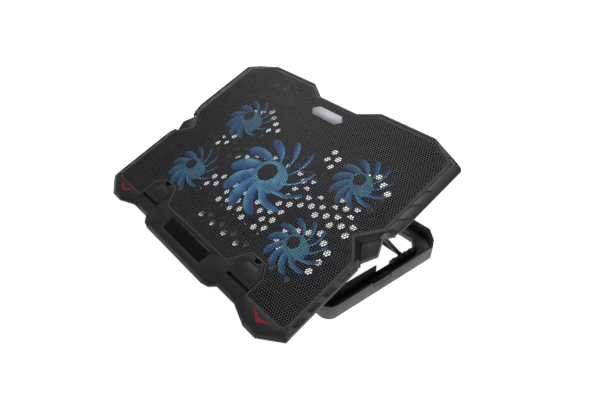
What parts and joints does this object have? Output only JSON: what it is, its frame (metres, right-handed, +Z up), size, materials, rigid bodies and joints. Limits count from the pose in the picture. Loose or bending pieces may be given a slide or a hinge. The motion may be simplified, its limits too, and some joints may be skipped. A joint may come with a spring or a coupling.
{
  "type": "laptop cooling pad",
  "caption": "Tilting laptop cooling deck with a perforated top, several fans, flip-up stoppers and a folding stand frame held up by a prop.",
  "frame": {"origin": "middle of the footprint on the table, stand open", "axes": "+X to the user's right, +Y to the rear, +Z up"},
  "size_m": [0.38, 0.2696, 0.1372],
  "materials": {
    "shell_plastic": "fine spark-eroded texture, charcoal",
    "under_plastic": "fine texture, near black",
    "black_mesh": "perforated sheet, black powder coat",
    "silver_badge": "satin",
    "gloss_black": "polished",
    "red_trim": "semi gloss",
    "fan_blade": "translucent, lit from within",
    "pin_steel": "bright",
    "motor_black": "moulded",
    "led_blue": "lit",
    "circuit_board": "solder mask",
    "socket_steel": "nickel",
    "wire_cover": "insulation",
    "screw_steel": "black oxide",
    "foot_rubber": "matt",
    "stand_plastic": "fine texture, dark grey",
    "prop_black": "satin black"
  },
  "bodies": {
    "stand": {"stand_front_frame": "stand_plastic", "stand_rear_frame": "stand_plastic", "seam_clip_left": "under_plastic", "seam_clip_right": "under_plastic", "stand_feet": "foot_rubber"},
    "deck": {"top_bezel": "shell_plastic", "mesh_plate": "black_mesh", "bottom_shell": "under_plastic", "rear_badge": "silver_badge", "front_plate": "gloss_black", "chevron_left": "red_trim", "chevron_right": "red_trim", "big_fan_motor": "motor_black", "motor_rear_left": "motor_black", "motor_rear_right": "motor_black", "motor_front_left": "motor_black", "motor_front_right": "motor_black", "fan_leds": "led_blue", "control_board": "circuit_board", "usb_port_in": "socket_steel", "usb_port_out": "socket_steel", "wheel_axle": "pin_steel", "fan_wiring": "wire_cover", "case_screws": "screw_steel", "deck_foot_left": "foot_rubber", "deck_foot_right": "foot_rubber", "stopper_pin_left": "pin_steel", "stopper_pin_right": "pin_steel", "hinge_lug_left": "under_plastic", "hinge_lug_right": "under_plastic", "prop_lug_left": "under_plastic", "prop_lug_right": "under_plastic", "hinge_pin_left": "pin_steel", "hinge_pin_right": "pin_steel", "prop_pin_left": "pin_steel", "prop_pin_right": "pin_steel"},
    "big_fan": {"big_fan_rotor": "fan_blade", "big_fan_shaft": "pin_steel"},
    "fan_rear_left": {"rotor_rear_left": "fan_blade", "shaft_rear_left": "pin_steel"},
    "fan_rear_right": {"rotor_rear_right": "fan_blade", "shaft_rear_right": "pin_steel"},
    "fan_front_left": {"rotor_front_left": "fan_blade", "shaft_front_left": "pin_steel"},
    "fan_front_right": {"rotor_front_right": "fan_blade", "shaft_front_right": "pin_steel"},
    "stopper_left": {"stopper_left": "shell_plastic"},
    "stopper_right": {"stopper_right": "shell_plastic"},
    "speed_wheel": {"speed_wheel": "under_plastic"},
    "prop": {"prop_bracket": "prop_black"}
  },
  "joints": [
    {"name": "stand_fold", "type": "hinge", "parent": "stand", "child": "deck", "pos_m": [0, -0.04823, 0.014], "axis": [1, 0, 0], "range_deg": [-25, 0]},
    {"name": "prop_fold", "type": "hinge", "parent": "deck", "child": "prop", "pos_m": [0, 0.03422, 0.058], "axis": [1, 0, 0], "range_deg": [0, 74.36]},
    {"name": "big_fan_spin", "type": "hinge", "parent": "deck", "child": "big_fan", "pos_m": [0, 0.00347, 0.06738], "axis": [0, -0.4226, 0.9063], "continuous": true},
    {"name": "fan_rear_left_spin", "type": "hinge", "parent": "deck", "child": "fan_rear_left", "pos_m": [-0.1046, 0.05214, 0.09008], "axis": [0, -0.4226, 0.9063], "continuous": true},
    {"name": "fan_rear_right_spin", "type": "hinge", "parent": "deck", "child": "fan_rear_right", "pos_m": [0.1046, 0.05214, 0.09008], "axis": [0, -0.4226, 0.9063], "continuous": true},
    {"name": "fan_front_left_spin", "type": "hinge", "parent": "deck", "child": "fan_front_left", "pos_m": [-0.1046, -0.04176, 0.0463], "axis": [0, -0.4226, 0.9063], "continuous": true},
    {"name": "fan_front_right_spin", "type": "hinge", "parent": "deck", "child": "fan_front_right", "pos_m": [0.1046, -0.04176, 0.0463], "axis": [0, -0.4226, 0.9063], "continuous": true},
    {"name": "stopper_left_flip", "type": "hinge", "parent": "deck", "child": "stopper_left", "pos_m": [-0.096, -0.10683, 0.02566], "axis": [1, 0, 0], "range_deg": [0, 95]},
    {"name": "stopper_right_flip", "type": "hinge", "parent": "deck", "child": "stopper_right", "pos_m": [0.096, -0.10683, 0.02566], "axis": [1, 0, 0], "range_deg": [0, 95]},
    {"name": "speed_wheel_turn", "type": "hinge", "parent": "deck", "child": "speed_wheel", "pos_m": [-0.088, 0.12231, 0.11398], "axis": [0, -0.4226, 0.9063], "range_deg": [-135, 135]}
  ],
  "couplings": [
    {"joint": "prop_fold", "follows": "stand_fold", "ratio": -2.9723}
  ]
}
